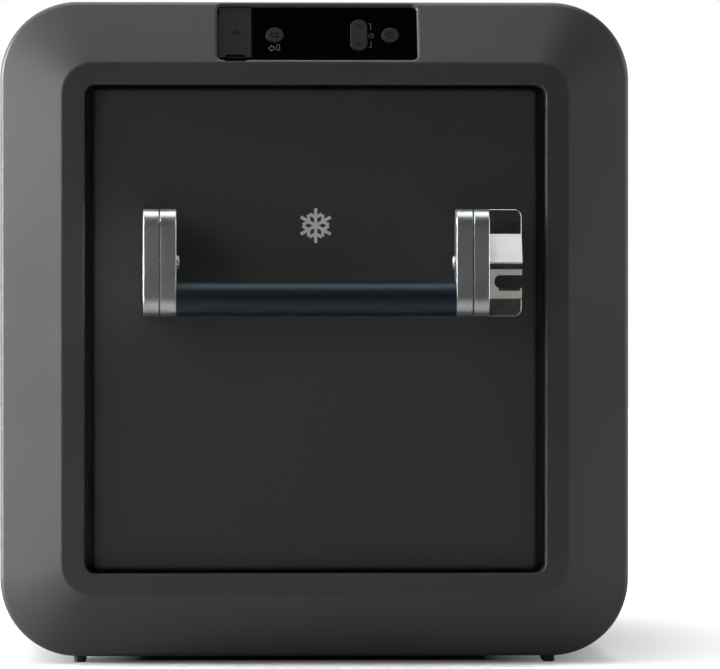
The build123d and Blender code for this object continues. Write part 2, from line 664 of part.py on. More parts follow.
# Power inlets ----------------------------------------------------------------------------------
flap_rebate, flap_rim, socket_rim, socket_depth = 3.0, 2.0, 6.0, 24.0
flap_sunk, flap_gap, flap_round = 0.2, 0.4, 0.6
nib_proud, nib_half, nib_low, nib_high = 1.2, 5.0, 2.6, 5.0
pin_start, pin_pitch, pin_width, pin_height = 10.0, 7.0, 2.0, 4.0
pin_boxes = []
for name, (y, inlet_width, inlet_height) in inlets.items():
    low = (-cabinet_half_width, y - inlet_width / 2, inlet_z - inlet_height / 2)
    high = (-cabinet_half_width + inlet_depth, y + inlet_width / 2, inlet_z + inlet_height / 2)
    pin_count = 3 if name == "ac" else 2
    pins = [y + (i - (pin_count - 1) / 2) * pin_pitch for i in range(pin_count)]
    boxes = [((low[0] + pin_start, pin - pin_width / 2, inlet_z - pin_height / 2),
              (high[0], pin + pin_width / 2, inlet_z + pin_height / 2)) for pin in pins]
    pin_boxes += boxes
    with BuildPart() as inlet:
        box_between(low, high)
        box_between((low[0], low[1] + flap_rim, low[2] + flap_rim),
                    (low[0] + flap_rebate, high[1] - flap_rim, high[2] - flap_rim), Mode.SUBTRACT)
        box_between((low[0], low[1] + socket_rim, low[2] + socket_rim),
                    (low[0] + socket_depth, high[1] - socket_rim, high[2] - socket_rim), Mode.SUBTRACT)
        for box in boxes:
            box_between(*box, Mode.SUBTRACT)
    save(inlet.part, f"{name}_inlet")
    with BuildPart() as flap:
        flap_face = low[0] + flap_sunk
        edge = flap_rim + flap_gap
        box_between((flap_face, low[1] + edge, low[2] + edge),
                    (flap_face + flap_thickness, high[1] - edge, high[2] - edge - flap_gap))
        lip = [e for e in flap.edges() if abs(e.center().X - flap_face) < 0.01]
        fillet(lip, radius=flap_round)
        # Thumb nib at the lower edge
        box_between((low[0] - nib_proud, y - nib_half, low[2] + nib_low),
                    (flap_face, y + nib_half, low[2] + nib_high))
    save(flap.part, f"{name}_flap")

with BuildPart() as inlet_pins:
    for box in pin_boxes:
        box_between(*box)
save(inlet_pins.part, "inlet_pins")

# Feet ------------------------------------------------------------------------------------------
foot_x, foot_y, foot_width, foot_length, foot_radius, foot_round = 170.0, 271.0, 8.5, 38.0, 3.5, 1.0
with BuildPart() as feet:
    with BuildSketch():
        with GridLocations(2 * foot_x, 2 * foot_y, 2, 2):
            RectangleRounded(foot_width, foot_length, foot_radius)
    extrude(amount=foot_height)
    fillet(feet.faces().sort_by(Axis.Z)[:4].edges(), radius=foot_round)
save(feet.part, "feet")

# Machine bay -----------------------------------------------------------------------------------
bay_middle = (bay_y[0] + bay_y[1]) / 2
pan_thickness, pan_half_width, pan_gap = 2.0, 184.0, 1.0
pan_top = bay_z[0] + pan_thickness
compressor_x, compressor_radius, compressor_height, dome_round = 112.0, 60.0, 128.0, 26.0
weld_rise, weld_height, weld_proud = 59.0, 5.0, 2.0
mount_spacing, stud_radius, stud_height, grommet_radius, grommet_height = 112.0, 3.0, 12.0, 9.0, 8.0
base_size, base_radius, base_thickness = 132.0, 14.0, 3.0
with BuildPart() as base_pan:
    box_between((-pan_half_width, bay_y[0] + pan_gap, bay_z[0]),
                (pan_half_width, bay_y[1] - pan_gap, pan_top))
    with BuildSketch(Plane(origin=(compressor_x, bay_middle, pan_top))):
        with GridLocations(mount_spacing, mount_spacing, 2, 2):
            Circle(stud_radius)
    extrude(amount=stud_height)
save(base_pan.part, "base_pan")

with BuildPart() as compressor_mounts:
    with BuildSketch(Plane(origin=(compressor_x, bay_middle, pan_top))):
        with GridLocations(mount_spacing, mount_spacing, 2, 2):
            Circle(grommet_radius)
            Circle(stud_radius, mode=Mode.SUBTRACT)
    extrude(amount=grommet_height)
save(compressor_mounts.part, "compressor_mounts")

pot_floor = pan_top + grommet_height + base_thickness
with BuildPart() as compressor:
    with BuildSketch(Plane(origin=(compressor_x, bay_middle, pan_top + grommet_height))):
        RectangleRounded(base_size, base_size, base_radius)
        with GridLocations(mount_spacing, mount_spacing, 2, 2):
            Circle(stud_radius + 0.2, mode=Mode.SUBTRACT)
    extrude(amount=base_thickness)
    rod((compressor_x, bay_middle, pot_floor), (0, 0, 1), compressor_radius, compressor_height)
    fillet(compressor.faces().sort_by(Axis.Z)[-1].edges(), radius=dome_round)
    # Weld flange round the pot
    rod((compressor_x, bay_middle, pot_floor + weld_rise), (0, 0, 1), compressor_radius + weld_proud,
        weld_height)
save(compressor.part, "compressor")

condenser_x = (-193.0, -173.0)
fin_count, fin_pitch, fin_thickness, fin_start, fin_z = 14, 9.4, 0.8, 12.0, (28.0, 220.0)
pass_count, pass_pitch, pass_low, pass_radius, pass_margin = 7, 28.0, 40.0, 3.5, 8.0
with BuildPart() as condenser:
    for i in range(pass_count):
        rod((sum(condenser_x) / 2, bay_y[0] + pass_margin, pass_low + pass_pitch * i), (0, 1, 0), pass_radius,
            bay_y[1] - bay_y[0] - 2 * pass_margin)
    for i in range(fin_count):
        y = bay_y[0] + fin_start + fin_pitch * i
        box_between((condenser_x[0], y, fin_z[0]), (condenser_x[1], y + fin_thickness, fin_z[1]))
save(condenser.part, "condenser")

fan_x, fan_z, fan_radius = -156.0, 128.0, 53.0
shroud_half, shroud_depth, shroud_round, blade_room = 60.0, 25.0, 8.0, 2.0
spoke_half, spoke_depth, motor_radius, axle_radius = 3.0, 3.0, 19.0, 2.0
shroud_left, shroud_right = fan_x - shroud_depth / 2, fan_x + shroud_depth / 2
spoke_reach = fan_radius + 4
with BuildPart() as fan_shroud:
    box_between((shroud_left, bay_middle - shroud_half, fan_z - shroud_half),
                (shroud_right, bay_middle + shroud_half, fan_z + shroud_half))
    fillet(fan_shroud.edges().filter_by(Axis.X), radius=shroud_round)
    rod((shroud_left, bay_middle, fan_z), (1, 0, 0), fan_radius + blade_room, shroud_depth, Mode.SUBTRACT)
    rod((shroud_right - spoke_depth, bay_middle, fan_z), (1, 0, 0), motor_radius, spoke_depth)
    for across, up in ((spoke_reach, spoke_half), (spoke_half, spoke_reach)):
        box_between((shroud_right - spoke_depth, bay_middle - across, fan_z - up),
                    (shroud_right, bay_middle + across, fan_z + up))
    rod((shroud_left + 6.5, bay_middle, fan_z), (1, 0, 0), axle_radius, 16)
save(fan_shroud.part, "fan_shroud")

blade_count, blade_size, blade_middle, blade_tilt = 7, (34, 20, 1.6), 35.0, (0.8, 0.6)
hub_radius, hub_left, hub_length = 20.0, fan_x - 10, 18.0
with BuildPart() as fan_impeller:
    rod((hub_left, bay_middle, fan_z), (1, 0, 0), hub_radius, hub_length)
    for i in range(blade_count):
        turn = radians(360 / blade_count * i)
        radial = Vector(0, cos(turn), sin(turn))
        middle = Vector(hub_left + hub_length / 2, bay_middle, fan_z) + radial * blade_middle
        lean = Vector(blade_tilt[0], -blade_tilt[1] * radial.Z, blade_tilt[1] * radial.Y)
        with Locations(Plane(origin=middle, x_dir=radial, z_dir=lean)):
            Box(*blade_size)
    rod((hub_left, bay_middle, fan_z), (1, 0, 0), axle_radius + running_clearance, hub_length + 2,
        Mode.SUBTRACT)
save(fan_impeller.part, "fan_impeller")

controller_x, controller_depth, controller_top = (-120.0, -30.0), 32.0, 92.0
sink_count, sink_pitch, sink_thickness, sink_depth = 9, 10.0, 3.0, 8.0
with BuildPart() as motor_controller:
    controller_y = bay_y[0] + 2
    box_between((controller_x[0], controller_y, pan_top),
                (controller_x[1], controller_y + controller_depth, controller_top))
    for i in range(sink_count):
        x = controller_x[0] + 4 + sink_pitch * i
        box_between((x, controller_y + controller_depth, pan_top + 6),
                    (x + sink_thickness, controller_y + controller_depth + sink_depth, controller_top - 4))
save(motor_controller.part, "motor_controller")

tube_radius, tube_bend, tube_y = 3.0, 14.0, bay_middle + 30
drier_place, drier_radius, drier_length = (20.0, bay_y[1] - 16, 60.0), 9.0, 90.0
tube_points = [(compressor_x - 20, 155.0), (compressor_x - 20, 200.0), (compressor_x - 60, 225.0),
               (-120.0, 225.0), (-183.0, 226.0)]  # X and Z, from the compressor to the condenser
with BuildPart() as refrigerant_line:
    with BuildLine():
        FilletPolyline(*[(x, tube_y, z) for x, z in tube_points], radius=tube_bend)
    with BuildSketch(Plane(origin=(tube_points[0][0], tube_y, tube_points[0][1]))):
        Circle(tube_radius)
    sweep()
    # Filter drier, standing on its own in the bay
    rod(drier_place, (0, 0, 1), drier_radius, drier_length)
save(refrigerant_line.part, "refrigerant_line")

# Inside the tub --------------------------------------------------------------------------------
basket_top, basket_half_width, basket_wall, basket_radius, basket_rest = 390.0, 166.0, 2.5, 8.0, 3.0
baskets = {"large": (-68.0, 212.0, tub_floor + basket_rest),
           "small": (-212.0, -84.0, step_floor + basket_rest)}  # front, back and floor
for name, (basket_front, basket_back, basket_floor) in baskets.items():
    with BuildPart() as basket:
        box_between((-basket_half_width, basket_front, basket_floor),
                    (basket_half_width, basket_back, basket_top))
        fillet(basket.edges().filter_by(Axis.Z), radius=basket_radius)
        offset(amount=-basket_wall, openings=basket.faces().sort_by(Axis.Z)[-1])
    save(basket.part, f"basket_{name}")

light_depth, light_y, light_z, light_round = 3.0, (40.0, 84.0), (372.0, 384.0), 1.5
with BuildPart() as interior_light:
    box_between((tub_half_width - light_depth, light_y[0], light_z[0]),
                (tub_half_width, light_y[1], light_z[1]))
    fillet(interior_light.faces().sort_by(Axis.X)[0].edges(), radius=light_round)
save(interior_light.part, "interior_light")

# Lid -------------------------------------------------------------------------------------------
with BuildPart() as lid_hollow:
    with BuildSketch(section):
        cabinet_profile(lid_wall)
        cut_below(lid_bottom)
    extrude(amount=lid_half_length - lid_wall, both=True)
    box_between((pocket_back - pocket_wall, -latch_half_width - pocket_wall, 0),
                (width, latch_half_width + pocket_wall, pocket_high + pocket_wall), Mode.SUBTRACT)
    cut_hinge_grooves()
liner_top = lid_bottom + lid_liner_thickness

with BuildPart() as lid_shell:
    with BuildSketch(section):
        cabinet_profile(0)
        cut_below(lid_bottom)
    extrude(amount=lid_half_length, both=True)
    for face in (0, -1):
        rim = lid_shell.faces().sort_by(Axis.Y)[face].edges().filter_by(Axis.Y, reverse=True)
        fillet(rim.sort_by(Axis.Z)[1:], radius=lid_round)
    add(lid_hollow.part, mode=Mode.SUBTRACT)
    box_between((pocket_back, -latch_half_width, 0), (width, latch_half_width, pocket_high), Mode.SUBTRACT)
    rod((latch_pin_x, -latch_half_width - 2, latch_pin_z), (0, 1, 0), latch_pin_radius,
        2 * latch_half_width + 4, Mode.SUBTRACT)
    cut_hinge_grooves()
save(lid_shell.part, "lid_shell")

with BuildPart() as lid_foam:
    add(lid_hollow.part)
    box_between((-width, -overall_length, 0), (width, overall_length, liner_top), Mode.SUBTRACT)
save(lid_foam.part, "lid_foam")

with BuildPart() as lid_liner:
    add(lid_hollow.part)
    box_between((-width, -overall_length, liner_top), (width, overall_length, 2 * overall_height),
                Mode.SUBTRACT)
save(lid_liner.part, "lid_liner")

gasket_inset, gasket_width, gasket_radius, gasket_clear = 6.0, 9.0, 18.0, 0.1
with BuildPart() as lid_gasket:
    inner = (2 * (tub_half_width + gasket_inset), 2 * (tub_back + gasket_inset))
    with BuildSketch(Plane.XY.offset(seam + gasket_clear)):
        RectangleRounded(*[size + 2 * gasket_width for size in inner], gasket_radius + gasket_width)
        RectangleRounded(*inner, gasket_radius, mode=Mode.SUBTRACT)
    extrude(amount=lid_bottom - seam - gasket_clear)
save(lid_gasket.part, "lid_gasket")

# Hinges: three knuckles each, the middle one on the lid
with BuildPart() as hinge_lid_leaves:
    for y in hinge_centres:
        rod((hinge_x, y - knuckle_length / 2, hinge_z), (0, 1, 0), knuckle_radius, knuckle_length)
        box_between((leaf_outer, y - knuckle_length / 2, hinge_z),
                    (-cabinet_half_width, y + knuckle_length / 2, hinge_z + leaf_clear))
        box_between((leaf_outer, y - hinge_length / 2, hinge_z + leaf_clear),
                    (-cabinet_half_width, y + hinge_length / 2, hinge_z + leaf_height))
        rod((hinge_x, y - hinge_length, hinge_z), (0, 1, 0), hinge_pin_radius + running_clearance,
            2 * hinge_length, Mode.SUBTRACT)
save(hinge_lid_leaves.part, "hinge_lid_leaves")

with BuildPart() as hinge_body_leaves:
    for y in hinge_centres:
        for step in (-1, 1):
            start = y + step * (knuckle_length + knuckle_gap) - knuckle_length / 2
            rod((hinge_x, start, hinge_z), (0, 1, 0), knuckle_radius, knuckle_length)
            box_between((leaf_outer, start, hinge_z - leaf_clear),
                        (-cabinet_half_width, start + knuckle_length, hinge_z))
        box_between((leaf_outer, y - hinge_length / 2, hinge_z - leaf_height),
                    (-cabinet_half_width, y + hinge_length / 2, hinge_z - leaf_clear))
        rod((hinge_x, y - hinge_length, hinge_z), (0, 1, 0), hinge_pin_radius, 2 * hinge_length,
            Mode.SUBTRACT)
save(hinge_body_leaves.part, "hinge_body_leaves")

with BuildPart() as hinge_pins:
    for y in hinge_centres:
        rod((hinge_x, y - hinge_length / 2, hinge_z), (0, 1, 0), hinge_pin_radius, hinge_length)
save(hinge_pins.part, "hinge_pins")

# Latch: the lever hangs from the lid in a pocket shared with the cabinet
ledge_half, ledge_depth, ledge_z = 16.0, 2.4, (386.0, 391.0)
lever_half = 36.0
lever_outline = [(-3.4, 4.0), (1.6, 4.0), (3.6, -4.0), (3.6, -48.0), (1.0, -53.0), (-2.0, -53.0),
                 (-2.0, -12.0), (-3.4, -6.0)]  # X and Z from the latch pin
with BuildPart() as latch_keeper:
    box_between((pocket_back - pocket_wall, -latch_half_width - pocket_wall, pocket_low - pocket_wall),
                (cabinet_half_width, latch_half_width + pocket_wall, seam))
    box_between((pocket_back, -latch_half_width, pocket_low), (width, latch_half_width, seam + 1),
                Mode.SUBTRACT)
    # Ledge that the lever's tip snaps over
    box_between((pocket_back, -ledge_half, ledge_z[0]), (pocket_back + ledge_depth, ledge_half, ledge_z[1]))
save(latch_keeper.part, "latch_keeper")

with BuildPart() as latch_lever:
    with BuildSketch(Plane(origin=(latch_pin_x, lever_half, latch_pin_z), x_dir=(1, 0, 0), z_dir=(0, -1, 0))):
        Polygon(*lever_outline, align=None)
    extrude(amount=2 * lever_half)
    rod((latch_pin_x, -lever_half - 1, latch_pin_z), (0, 1, 0), latch_pin_radius + running_clearance,
        2 * lever_half + 2, Mode.SUBTRACT)
save(latch_lever.part, "latch_lever")

with BuildPart() as latch_pin:
    rod((latch_pin_x, -latch_half_width - 2, latch_pin_z), (0, 1, 0), latch_pin_radius,
        2 * latch_half_width + 4)
save(latch_pin.part, "latch_pin")
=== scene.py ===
import json
import math

import bpy
import bmesh
from mathutils import Matrix, Vector


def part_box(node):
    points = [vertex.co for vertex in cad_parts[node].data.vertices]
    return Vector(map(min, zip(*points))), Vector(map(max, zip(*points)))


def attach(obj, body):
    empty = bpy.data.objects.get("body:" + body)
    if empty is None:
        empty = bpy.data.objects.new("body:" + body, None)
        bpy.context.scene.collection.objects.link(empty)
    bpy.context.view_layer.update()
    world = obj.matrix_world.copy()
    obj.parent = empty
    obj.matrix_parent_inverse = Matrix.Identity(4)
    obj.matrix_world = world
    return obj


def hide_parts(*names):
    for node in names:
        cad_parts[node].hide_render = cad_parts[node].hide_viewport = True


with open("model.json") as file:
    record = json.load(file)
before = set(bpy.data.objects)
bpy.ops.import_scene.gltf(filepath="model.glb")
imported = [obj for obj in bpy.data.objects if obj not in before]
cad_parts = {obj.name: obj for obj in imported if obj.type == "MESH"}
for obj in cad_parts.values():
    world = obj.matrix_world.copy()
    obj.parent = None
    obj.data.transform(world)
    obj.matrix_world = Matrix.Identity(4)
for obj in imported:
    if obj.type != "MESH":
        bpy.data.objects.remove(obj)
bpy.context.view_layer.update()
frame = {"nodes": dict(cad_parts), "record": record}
nodes = frame["nodes"]
MM = 0.001


# Node materials -------------------------------------------------------------------------
class Shader:
    """A material's node tree, with short calls for the nodes used here."""

    def __init__(self, name):
        self.material = bpy.data.materials.new(name)
        self.material.use_nodes = True
        self.tree = self.material.node_tree
        self.bsdf = self.tree.nodes["Principled BSDF"]
        self.place = self.tree.nodes.new("ShaderNodeTexCoord").outputs["Object"]

    def node(self, kind, inputs=None, **settings):
        node = self.tree.nodes.new(kind)
        for key, value in settings.items():
            setattr(node, key, value)
        for key, value in (inputs or {}).items():
            self.feed(node.inputs[key], value)
        return node

    def feed(self, socket, value):
        if isinstance(value, bpy.types.NodeSocket):
            self.tree.links.new(value, socket)
        else:
            socket.default_value = value

    def set(self, **values):
        for key, value in values.items():
            self.feed(self.bsdf.inputs[key.replace("_", " ")], value)

    def scaled(self, scale):
        mapping = self.node("ShaderNodeMapping", {"Vector": self.place, "Scale": scale})
        return mapping.outputs["Vector"]

    def noise(self, scale, detail=3.0, roughness=0.5, stretch=(1, 1, 1)):
        node = self.node("ShaderNodeTexNoise",
                         {"Vector": self.scaled(stretch), "Scale": scale, "Detail": detail,
                          "Roughness": roughness})
        return node.outputs["Fac"]

    def cells(self, scale):
        node = self.node("ShaderNodeTexVoronoi", {"Vector": self.place, "Scale": scale})
        return node.outputs["Distance"]

    def spread(self, value, low, high, start=0.3, stop=0.7):
        node = self.node("ShaderNodeMapRange", {"Value": value, "From Min": start, "From Max": stop,
                                                "To Min": low, "To Max": high})
        return node.outputs["Result"]

    def blend(self, factor, a, b):
        node = self.node("ShaderNodeMix", data_type="RGBA")
        self.feed(node.inputs[0], factor)
        self.feed(node.inputs[6], (*a, 1.0) if isinstance(a, tuple) else a)
        self.feed(node.inputs[7], (*b, 1.0) if isinstance(b, tuple) else b)
        return node.outputs[2]

    def bump(self, height, strength, distance):
        node = self.node("ShaderNodeBump", {"Height": height, "Strength": strength, "Distance": distance})
        self.feed(self.bsdf.inputs["Normal"], node.outputs["Normal"])

    def add(self, a, b, weight=1.0):
        scaled = self.node("ShaderNodeMath", operation="MULTIPLY")
        self.feed(scaled.inputs[0], b)
        scaled.inputs[1].default_value = weight
        total = self.node("ShaderNodeMath", operation="ADD")
        self.feed(total.inputs[0], a)
        self.feed(total.inputs[1], scaled.outputs[0])
        return total.outputs[0]


def tint(colour, factor):
    return tuple(min(1.0, c * factor) for c in colour)


def moulded_plastic(name, colour, roughness=0.45, grain=1.0, gloss=0.5, mottle=0.10):
    """Plastic with a fine spark-eroded grain, slight mottling and uneven gloss."""
    s = Shader(name)
    cloud = s.noise(9.0, detail=5)
    grit = s.noise(1900.0, detail=2)
    s.set(Base_Color=s.blend(s.spread(cloud, 0, 1), tint(colour, 1 - mottle), tint(colour, 1 + mottle)),
          Roughness=s.spread(s.add(cloud, grit, 0.4), roughness - 0.06, roughness + 0.07, 0.3, 1.0),
          Specular_IOR_Level=gloss)
    s.bump(s.add(grit, s.cells(850.0), 0.6), 0.22 * grain, 0.00012)
    return s.material


def powder_coat(name, colour, roughness=0.5, grain=1.0, metallic=0.0):
    """Powder paint on sheet: soft orange peel under a fine speckle."""
    s = Shader(name)
    peel = s.noise(420.0, detail=2)
    speckle = s.noise(2600.0, detail=2)
    cloud = s.noise(5.0, detail=4)
    base = s.blend(s.spread(speckle, 0, 1, 0.42, 0.68), tint(colour, 0.86), tint(colour, 1.22))
    s.set(Base_Color=s.blend(s.spread(cloud, 0, 0.25), base, tint(colour, 1.12)),
          Roughness=s.spread(peel, roughness - 0.05, roughness + 0.08), Metallic=metallic)
    s.bump(s.add(peel, speckle, 0.5), 0.25 * grain, 0.00015)
    return s.material


def brushed_metal(name, colour, roughness=0.3, along=(1, 1, 0.02), strength=0.35, stain=0.08, metallic=1.0):
    """Metal with fine brush lines along one row axis and faint cloudy stains."""
    s = Shader(name)
    lines = s.noise(1300.0, detail=4, roughness=0.7, stretch=along)
    wide = s.noise(500.0, detail=2, stretch=along)
    cloud = s.noise(30.0, detail=4)
    streak = s.add(lines, wide, 0.5)
    s.set(Base_Color=s.blend(s.spread(s.add(cloud, lines, 0.5), 0, 1, 0.5, 1.0), tint(colour, 1 - stain),
                             tint(colour, 1 + stain)),
          Metallic=metallic, Roughness=s.spread(streak, roughness - 0.07, roughness + 0.10, 0.4, 1.1))
    s.bump(streak, strength, 0.00006)
    return s.material


def polished_steel(name, colour, roughness, satin_middle, satin_half):
    """Stainless sheet: nearly mirror, with hair lines and a few soft smears. A band between two heights is
    blasted satin, and so are the edges, which is every face that doesn't look straight to the front."""
    s = Shader(name)
    height = s.node("ShaderNodeSeparateXYZ", {"Vector": s.place}).outputs["Z"]
    band = s.node("ShaderNodeMath", {0: height, 1: satin_middle, 2: satin_half}, operation="COMPARE")
    facing = s.node("ShaderNodeNewGeometry").outputs["True Normal"]
    facing = s.node("ShaderNodeSeparateXYZ", {"Vector": facing}).outputs["Y"]
    edge = s.node("ShaderNodeMath", {0: facing, 1: -0.95}, operation="GREATER_THAN")
    satin = s.node("ShaderNodeMath", {0: band.outputs[0], 1: edge.outputs[0]}, operation="MAXIMUM")
    hair = s.noise(3000.0, detail=3, stretch=(0.05, 1, 1))
    smear = s.noise(60.0, detail=4)
    steel = s.blend(s.spread(smear, 0, 1), tint(colour, 0.95), tint(colour, 1.04))
    s.set(Base_Color=s.blend(band.outputs[0], steel, (0.86, 0.86, 0.86)), Metallic=1.0,
          Roughness=s.add(s.spread(s.add(smear, hair, 0.4), roughness - 0.05, roughness + 0.10, 0.3, 1.0),
                          satin.outputs[0], 0.30))
    s.bump(s.add(hair, s.noise(1500.0, detail=2), 0.3), 0.12, 0.00004)
    return s.material


def soft_rubber(name, colour, roughness=0.55, grain=1.0, sheen=0.15, gloss=0.5, cast=(1, 1, 1)):
    """Matt rubber with a fine sandy skin."""
    s = Shader(name)
    sand = s.noise(1500.0, detail=3)
    cloud = s.noise(35.0, detail=3)
    s.set(Base_Color=s.blend(s.spread(cloud, 0, 1), tint(colour, 0.88), tint(colour, 1.12)),
          Roughness=s.spread(s.add(sand, cloud, 0.5), roughness - 0.05, roughness + 0.08, 0.4, 1.1),
          Sheen_Weight=sheen, Sheen_Roughness=0.4, Specular_IOR_Level=gloss, Specular_Tint=(*cast, 1))
    s.bump(sand, 0.25 * grain, 0.00010)
    return s.material


def gloss_black(name, colour=(0.001, 0.001, 0.0011), roughness=0.025):
    """Piano-black plastic: deep gloss with faint wiping marks."""
    s = Shader(name)
    wipe = s.noise(90.0, detail=4, stretch=(0.2, 1, 1))
    s.set(Base_Color=(*colour, 1), Roughness=s.spread(wipe, roughness, roughness + 0.02),
          Specular_IOR_Level=0.3)
    return s.material


def closed_foam(name, colour):
    """Rigid foam with small visible cells."""
    s = Shader(name)
    cell = s.cells(380.0)
    s.set(Base_Color=s.blend(s.spread(cell, 0, 1, 0.1, 0.7), tint(colour, 0.8), colour), Roughness=0.9)
    s.bump(cell, 0.6, 0.0006)
    return s.material


def drawn_copper(name):
    """Copper tube with darker oxide patches."""
    s = Shader(name)
    patch = s.noise(80.0, detail=5)
    s.set(Base_Color=s.blend(s.spread(patch, 0, 1, 0.4, 0.65), (0.78, 0.36, 0.22), (0.36, 0.15, 0.09)),
          Metallic=1.0, Roughness=s.spread(patch, 0.22, 0.48))
    return s.material


def solder_mask(name):
    """Circuit board: green mask with faint tracks."""
    s = Shader(name)
    track = s.node("ShaderNodeTexBrick", {"Vector": s.place, "Scale": 120.0, "Mortar Size": 0.03})
    s.set(Base_Color=s.blend(track.outputs["Fac"], (0.01, 0.10, 0.045), (0.03, 0.20, 0.09)), Roughness=0.3)
    return s.material


# The opener's ramp, below the top of its plate: the part of the steel that is blasted satin
RAMP_MIDDLE, RAMP_HALF = 27.7 * MM, 10.2 * MM
ramp_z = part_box("bottle_opener")[1].z - RAMP_MIDDLE

FRAME_GREY = (0.065, 0.070, 0.0675)
MATERIALS = {
    "frame_plastic": moulded_plastic("frame_plastic", FRAME_GREY, 0.42, grain=0.45, mottle=0.05),
    "lid_plastic": moulded_plastic("lid_plastic", FRAME_GREY, 0.46, grain=0.5, mottle=0.05),
    "panel_charcoal": powder_coat("panel_charcoal", (0.056, 0.056, 0.054), 0.55),
    "shell_paint": powder_coat("shell_paint", (0.30, 0.31, 0.31), 0.42),
    "dark_plastic": moulded_plastic("dark_plastic", (0.022, 0.023, 0.023), 0.5),
    "gloss_fascia": gloss_black("gloss_fascia"),
    "button_plastic": moulded_plastic("button_plastic", (0.0055, 0.0070, 0.0065), 0.50, grain=0.7,
                                      gloss=0.28),
    "flap_rubber": soft_rubber("flap_rubber", (0.0045, 0.0060, 0.0068), 0.62, sheen=0.0, gloss=0.3),
    "aluminium": brushed_metal("aluminium", (0.60, 0.63, 0.64), 0.32, strength=0.25, stain=0.14,
                               metallic=0.87),
    "stainless": polished_steel("stainless", (0.72, 0.71, 0.67), 0.12, ramp_z, RAMP_HALF),
    "grip_rubber": soft_rubber("grip_rubber", (0.0055, 0.0125, 0.0205), 0.42, grain=0.4, sheen=0.0, gloss=0.6,
                               cast=(0.72, 0.88, 1.0)),
    "foot_rubber": soft_rubber("foot_rubber", (0.012, 0.012, 0.012), 0.6),
    "foam": closed_foam("foam", (0.82, 0.74, 0.52)),
    "liner_white": moulded_plastic("liner_white", (0.74, 0.76, 0.78), 0.33, grain=0.4, mottle=0.02),
    "basket_coating": soft_rubber("basket_coating", (0.03, 0.032, 0.035), 0.42, grain=0.4),
    "light_lens": moulded_plastic("light_lens", (0.85, 0.88, 0.92), 0.25, grain=0.2, mottle=0.01),
    "compressor_black": powder_coat("compressor_black", (0.012, 0.012, 0.013), 0.22, grain=0.5),
    "copper": drawn_copper("copper"),
    "electronics": solder_mask("electronics"),
    "display_glass": gloss_black("display_glass", (0.01, 0.011, 0.014), 0.12),
    "controller_grey": brushed_metal("controller_grey", (0.42, 0.43, 0.44), 0.45),
    "emblem_silver": moulded_plastic("emblem_silver", (0.95, 0.95, 0.94), 0.38, grain=0.3, mottle=0.03),
    "print_grey": moulded_plastic("print_grey", (0.13, 0.135, 0.13), 0.5, grain=0.2),
    "mark_dark": moulded_plastic("mark_dark", (0.0005, 0.0005, 0.0006), 0.7, grain=0.2, gloss=0.05),
}

for entry in frame["record"]["subparts"]:
    mesh = nodes[entry["node"]].data
    mesh.materials.clear()
    mesh.materials.append(MATERIALS[entry["material_slot"]])


# Small mesh helpers ----------------------------------------------------------------------------
def extruded(name, loops, place, thickness):
    """Closed mesh of flat outlines (lists of 2-D points in mm) raised from a plane by a thickness in mm."""
    bm = bmesh.new()
    for loop in loops:
        low = [bm.verts.new(place @ Vector((x * MM, y * MM, 0))) for x, y in loop]
        high = [bm.verts.new(place @ Vector((x * MM, y * MM, thickness * MM))) for x, y in loop]
        bm.faces.new(list(reversed(low)))
        bm.faces.new(high)
        for i in range(len(loop)):
            j = (i + 1) % len(loop)
            bm.faces.new((low[i], low[j], high[j], high[i]))
    bmesh.ops.recalc_face_normals(bm, faces=bm.faces)
    mesh = bpy.data.meshes.new(name)
    bm.to_mesh(mesh)
    bm.free()
    return mesh


def plane_matrix(origin, across, normal):
    """Local X runs along across, local Z along normal."""
    z = Vector(normal).normalized()
    x = Vector(across).normalized()
    y = z.cross(x)
    matrix = Matrix((x, y, z)).transposed().to_4x4()
    matrix.translation = Vector(origin)
    return matrix


CORNER_REACH = 0.35  # of a printed line's width


def line_strip(points, width, closed=False):
    """Quads, as outlines, for a thin printed line along 2-D points; they run on a little at the corners."""
    strips = []
    count = len(points) if closed else len(points) - 1
    for i in range(count):
        a, b = Vector(points[i]), Vector(points[(i + 1) % len(points)])
        along = (b - a).normalized()
        across = Vector((-along.y, along.x)) * width / 2
        reach = along * width * CORNER_REACH
        strips.append([tuple(p) for p in (a - reach - across, b + reach - across,
                                          b + reach + across, a - reach + across)])
    return strips


def arc_points(centre, radius, start, stop, count=24):
    """Points on an arc, angles in degrees."""
    return [(centre[0] + radius * math.cos(math.radians(start + (stop - start) * i / count)),
             centre[1] + radius * math.sin(math.radians(start + (stop - start) * i / count)))
            for i in range(count + 1)]


def printed(name, loops, place, material, body, thickness=0.06):
    """A thin printed or moulded mark."""
    mesh = extruded(name, loops, place, thickness)
    mesh.materials.append(MATERIALS[material])
    piece = bpy.data.objects.new(name, mesh)
    bpy.context.scene.collection.objects.link(piece)
    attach(piece, body)
    return piece


# Generic snowflake emblem on the end panel -----------------------------------------------------
EMBLEM_HEIGHT, EMBLEM_SIDEWAYS, EMBLEM_THICKNESS = 316.0, 0.5, 0.5
EMBLEM_REACH, EMBLEM_BAR, BRANCH_LENGTH, BRANCH_AT = 12.5, 2.3, 4.4, 5.2
panel_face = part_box("end_panel_front")[0].y
emblem_place = plane_matrix((EMBLEM_SIDEWAYS * MM, panel_face, EMBLEM_HEIGHT * MM), (1, 0, 0), (0, -1, 0))


